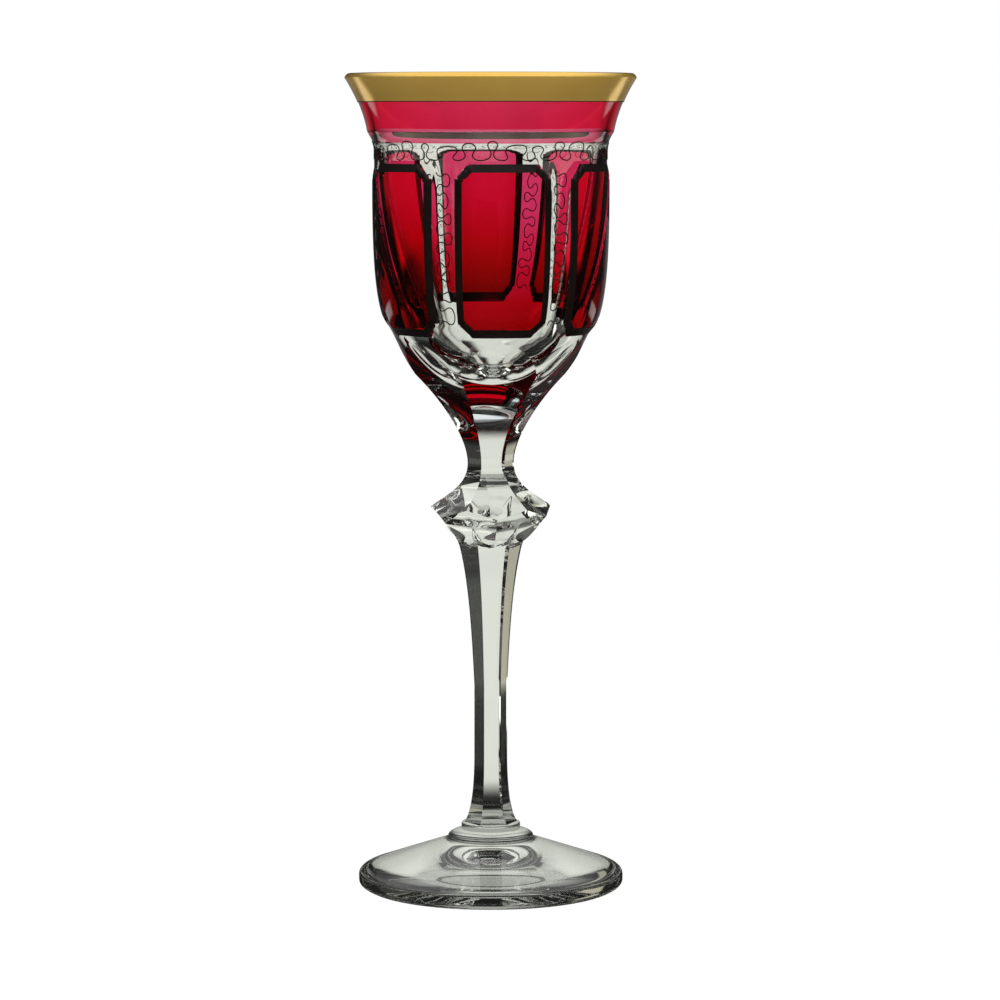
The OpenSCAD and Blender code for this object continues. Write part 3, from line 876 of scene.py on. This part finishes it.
def showByRay(tree, plain, mirrored, through, white, shadowShare=0.0):
    path = node(tree, "ShaderNodeLightPath")
    seen = blend(tree, path.outputs["Is Glossy Ray"], plain, mirrored)
    seen = blend(tree, path.outputs["Is Transmission Ray"], seen, through)
    share = path.outputs["Is Camera Ray"]
    if shadowShare:
        share = sums(tree, "MULTIPLY", share, 1 - shadowShare)
    return blend(tree, share, seen, glow(tree, white, "white"))


def makeFloor(s):
    bpy.ops.object.select_all(action="DESELECT")
    bpy.ops.mesh.primitive_circle_add(vertices=96, radius=s["floor"], fill_type="NGON", location=(0, 0, -s["drop"]))
    floor = bpy.context.object
    floor.name = "paleFloor"
    m, tree, paint = newMaterial("paleFloor")
    setInputs(paint, {"Base Color": s["paint"], "Roughness": s["roughness"]})
    measures = measure(tree, node(tree, "ShaderNodeTexCoord").outputs["Object"])
    through = patches(tree, measures, floorLight, "pale", s["dark"])
    mirrored = patches(tree, measures, floorMirrored, "white", s["floorGleam"])
    seen = showByRay(tree, paint.outputs[0], mirrored, through, s["white"], s["shadowShare"])
    tree.links.new(seen, tree.nodes["Material Output"].inputs["Surface"])
    floor.data.materials.append(m)


def makeSky(s):
    scene.world = bpy.data.worlds.new("studio")
    scene.world.use_nodes = True
    tree = scene.world.node_tree
    tree.nodes.clear()
    measures = measure(tree, node(tree, "ShaderNodeTexCoord").outputs["Generated"])
    through = patches(tree, measures, skyLight, "pale", s["dark"])
    mirrored = patches(tree, measures, skyMirrored, "white", s["skyGleam"])
    seen = showByRay(tree, glow(tree, s["fill"], "white"), mirrored, through, 1.0)
    tree.links.new(seen, node(tree, "ShaderNodeOutputWorld").inputs["Surface"])


# Lamps for the gilding and the near-black lines, aimed at the bowl, and the camera
lampSizes = {"keyLight": {"place": (-0.5, -1.3, 0.4), "aim": 0.15, "size": 0.7, "power": 12.5},
             "sideLight": {"place": (1.0, -0.6, 0.6), "aim": 0.15, "size": 0.5, "power": 6}}
cameraSizes = {"azimuth": -6.4, "distance": 1.025, "height": 0.204, "pitch": 5.62, "aside": 0.137, "lens": 140.4}


def makeLamp(name, s):
    bpy.ops.object.light_add(type="AREA", location=s["place"])
    lamp = bpy.context.object
    lamp.name = name
    lamp.data.size = s["size"]
    lamp.data.energy = s["power"]
    lamp.visible_glossy = lamp.visible_transmission = False
    x, y, z = s["place"]
    lamp.rotation_euler = (math.atan2(math.hypot(x, y), z - s["aim"]), 0, math.atan2(x, -y))


def makeCamera(c):
    a = math.radians(c["azimuth"])
    bpy.ops.object.camera_add(location=(c["distance"] * math.sin(a), -c["distance"] * math.cos(a), c["height"]))
    camera = bpy.context.object
    camera.rotation_euler = (math.radians(90 - c["pitch"]), 0, a - math.radians(c["aside"]))
    camera.data.lens = c["lens"]
    camera.data.sensor_width = 36
    scene.camera = camera


makeFloor(stageSizes)
makeSky(stageSizes)
for name, sizes in lampSizes.items():
    makeLamp(name, sizes)
makeCamera(cameraSizes)
scene.view_settings.view_transform = "Standard"
scene.cycles.max_bounces = 32  # enough to see through all the glass
scene.cycles.transmission_bounces = 32
scene.cycles.glossy_bounces = 16
scene.cycles.transparent_max_bounces = 48
print("stage, light and camera set")
